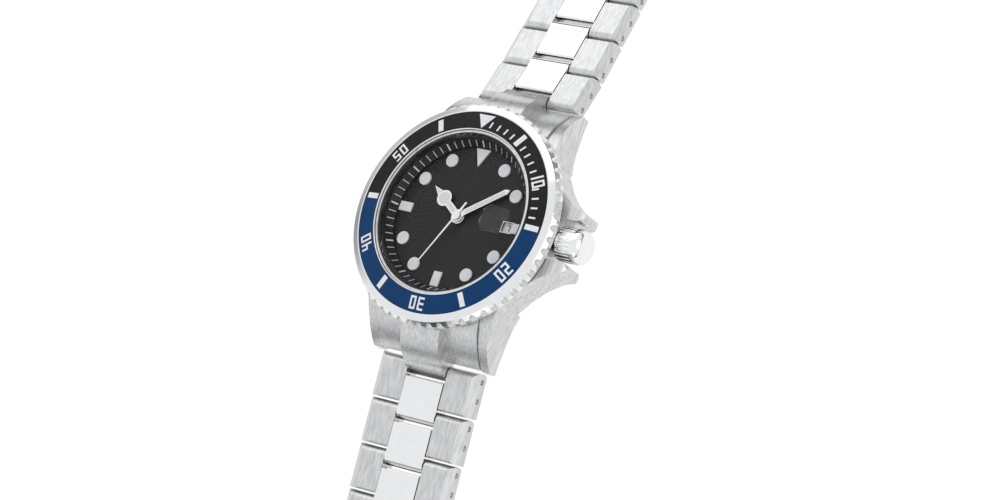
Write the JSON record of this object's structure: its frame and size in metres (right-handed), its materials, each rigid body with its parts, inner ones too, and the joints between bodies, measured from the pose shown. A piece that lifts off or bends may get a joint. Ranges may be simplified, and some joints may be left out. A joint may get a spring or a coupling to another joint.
{
  "type": "dive watch",
  "caption": "Wristwatch with a scalloped turning bezel, date window, knurled crown and a three-row metal bracelet opened out from its folding clasp.",
  "frame": {"origin": "centre of the case back's outer face", "axes": "+X towards 3 o'clock and the crown, +Y towards 12 o'clock along the bracelet, +Z out of the dial"},
  "size_m": [0.0466, 0.1893, 0.028],
  "materials": {
    "brushed_steel": "long brushed grain",
    "polished_steel": "polished",
    "plain_steel": "turned",
    "gasket_rubber": "smooth",
    "crystal_glass": "polished, anti-reflective",
    "insert_enamel": "black and blue gloss",
    "dial_black": "sunburst black",
    "flange_black": "satin black with white minute track",
    "lume_white": "luminous paint",
    "hand_steel": "polished with white inlay",
    "date_white": "matt white",
    "holder_plastic": "moulded",
    "movement_brass": "plated",
    "coil_copper": "wound wire",
    "battery_steel": "satin"
  },
  "bodies": {
    "watch_case": {"case": "brushed_steel", "case_back": "brushed_steel", "case_back_gasket": "gasket_rubber", "crystal": "crystal_glass", "date_magnifier": "crystal_glass", "crystal_gasket": "gasket_rubber", "dial_flange": "flange_black", "dial": "dial_black", "hour_markers": "lume_white", "movement_holder": "holder_plastic", "movement_main_plate": "movement_brass", "battery": "battery_steel", "stepping_motor_coil": "coil_copper", "train_bridge": "movement_brass", "crown_tube": "plain_steel", "bezel_click_spring": "plain_steel", "end_link_12": "brushed_steel", "end_link_6": "brushed_steel", "case_spring_bars": "plain_steel"},
    "turning_bezel": {"bezel": "polished_steel", "bezel_insert": "insert_enamel", "bezel_pearl": "lume_white"},
    "setting_slide": {"setting_lever": "plain_steel"},
    "winding_crown": {"crown": "polished_steel", "stem": "plain_steel", "crown_gasket": "gasket_rubber"},
    "minute": {"minute_hand": "hand_steel"},
    "hour": {"hour_hand": "hand_steel"},
    "seconds": {"seconds_hand": "hand_steel"},
    "date": {"date_disc": "date_white"},
    "link_12_1": {"link_12_1_outers": "brushed_steel", "link_12_1_centre": "polished_steel"},
    "link_12_2": {"link_12_2_outers": "brushed_steel", "link_12_2_centre": "polished_steel"},
    "link_12_3": {"link_12_3_outers": "brushed_steel", "link_12_3_centre": "polished_steel"},
    "link_12_4": {"link_12_4_outers": "brushed_steel", "link_12_4_centre": "polished_steel"},
    "link_12_5": {"link_12_5_outers": "brushed_steel", "link_12_5_centre": "polished_steel"},
    "link_12_6": {"link_12_6_outers": "brushed_steel", "link_12_6_centre": "polished_steel"},
    "link_12_7": {"link_12_7_outers": "brushed_steel", "link_12_7_centre": "polished_steel"},
    "link_6_1": {"link_6_1_outers": "brushed_steel", "link_6_1_centre": "polished_steel"},
    "link_6_2": {"link_6_2_outers": "brushed_steel", "link_6_2_centre": "polished_steel"},
    "link_6_3": {"link_6_3_outers": "brushed_steel", "link_6_3_centre": "polished_steel"},
    "link_6_4": {"link_6_4_outers": "brushed_steel", "link_6_4_centre": "polished_steel"},
    "link_6_5": {"link_6_5_outers": "brushed_steel", "link_6_5_centre": "polished_steel"},
    "clasp": {"clasp_cover": "brushed_steel", "clasp_spring_bar": "plain_steel"},
    "blade_outer": {"clasp_blade_outer": "brushed_steel"},
    "blade_inner": {"clasp_blade_inner": "brushed_steel"},
    "flap": {"safety_flap": "brushed_steel"}
  },
  "joints": [
    {"name": "bezel_turn", "type": "hinge", "parent": "watch_case", "child": "turning_bezel", "pos_m": [0, 0, 0.0098], "axis": [0, 0, 1], "continuous": true},
    {"name": "crown_pull", "type": "slide", "parent": "watch_case", "child": "setting_slide", "axis": [1, 0, 0], "range_m": [0, 0.0014]},
    {"name": "crown_turn", "type": "hinge", "parent": "setting_slide", "child": "winding_crown", "pos_m": [0.0205, 0, 0.0054], "axis": [1, 0, 0], "continuous": true},
    {"name": "minute_turn", "type": "hinge", "parent": "watch_case", "child": "minute", "pos_m": [0, 0, 0.0092], "axis": [0, 0, -1], "continuous": true},
    {"name": "hour_turn", "type": "hinge", "parent": "watch_case", "child": "hour", "pos_m": [0, 0, 0.0089], "axis": [0, 0, -1], "continuous": true},
    {"name": "seconds_turn", "type": "hinge", "parent": "watch_case", "child": "seconds", "pos_m": [0, 0, 0.0095], "axis": [0, 0, -1], "continuous": true},
    {"name": "date_turn", "type": "hinge", "parent": "watch_case", "child": "date", "pos_m": [0, 0, 0.0076], "axis": [0, 0, -1], "continuous": true},
    {"name": "link_12_1_hinge", "type": "hinge", "parent": "watch_case", "child": "link_12_1", "pos_m": [0, 0.026, 0.0001], "axis": [-1, 0, 0], "range_deg": [0, 30]},
    {"name": "link_12_2_hinge", "type": "hinge", "parent": "link_12_1", "child": "link_12_2", "pos_m": [0, 0.03394, -0.00248], "axis": [-1, 0, 0], "range_deg": [0, 30]},
    {"name": "link_12_3_hinge", "type": "hinge", "parent": "link_12_2", "child": "link_12_3", "pos_m": [0, 0.04206, -0.00444], "axis": [-1, 0, 0], "range_deg": [0, 30]},
    {"name": "link_12_4_hinge", "type": "hinge", "parent": "link_12_3", "child": "link_12_4", "pos_m": [0, 0.05017, -0.00641], "axis": [-1, 0, 0], "range_deg": [0, 30]},
    {"name": "link_12_5_hinge", "type": "hinge", "parent": "link_12_4", "child": "link_12_5", "pos_m": [0, 0.05829, -0.00837], "axis": [-1, 0, 0], "range_deg": [0, 30]},
    {"name": "link_12_6_hinge", "type": "hinge", "parent": "link_12_5", "child": "link_12_6", "pos_m": [0, 0.06641, -0.01033], "axis": [-1, 0, 0], "range_deg": [0, 30]},
    {"name": "link_12_7_hinge", "type": "hinge", "parent": "link_12_6", "child": "link_12_7", "pos_m": [0, 0.07452, -0.0123], "axis": [-1, 0, 0], "range_deg": [0, 30]},
    {"name": "link_6_1_hinge", "type": "hinge", "parent": "watch_case", "child": "link_6_1", "pos_m": [0, -0.026, 0.0001], "axis": [-1, 0, 0], "range_deg": [-30, 0]},
    {"name": "link_6_2_hinge", "type": "hinge", "parent": "link_6_1", "child": "link_6_2", "pos_m": [0, -0.03422, -0.00135], "axis": [-1, 0, 0], "range_deg": [-30, 0]},
    {"name": "link_6_3_hinge", "type": "hinge", "parent": "link_6_2", "child": "link_6_3", "pos_m": [0, -0.04245, -0.0028], "axis": [-1, 0, 0], "range_deg": [-30, 0]},
    {"name": "link_6_4_hinge", "type": "hinge", "parent": "link_6_3", "child": "link_6_4", "pos_m": [0, -0.05067, -0.00425], "axis": [-1, 0, 0], "range_deg": [-30, 0]},
    {"name": "link_6_5_hinge", "type": "hinge", "parent": "link_6_4", "child": "link_6_5", "pos_m": [0, -0.05889, -0.0057], "axis": [-1, 0, 0], "range_deg": [-30, 0]},
    {"name": "clasp_hinge", "type": "hinge", "parent": "link_6_5", "child": "clasp", "pos_m": [0, -0.06712, -0.00715], "axis": [-1, 0, 0], "range_deg": [-30, 0]},
    {"name": "blade_outer_hinge", "type": "hinge", "parent": "clasp", "child": "blade_outer", "pos_m": [0, -0.10223, -0.01304], "axis": [-1, 0, 0], "range_deg": [0, 150]},
    {"name": "blade_inner_hinge", "type": "hinge", "parent": "blade_outer", "child": "blade_inner", "pos_m": [0, -0.07218, -0.0084], "axis": [1, 0, 0], "range_deg": [0, 150]},
    {"name": "flap_hinge", "type": "hinge", "parent": "clasp", "child": "flap", "pos_m": [0, -0.09771, -0.00929], "axis": [-1, 0, 0], "range_deg": [0, 100]}
  ],
  "couplings": [
    {"joint": "hour_turn", "follows": "minute_turn", "ratio": 0.083333},
    {"joint": "date_turn", "follows": "minute_turn", "ratio": 0.0013441}
  ]
}
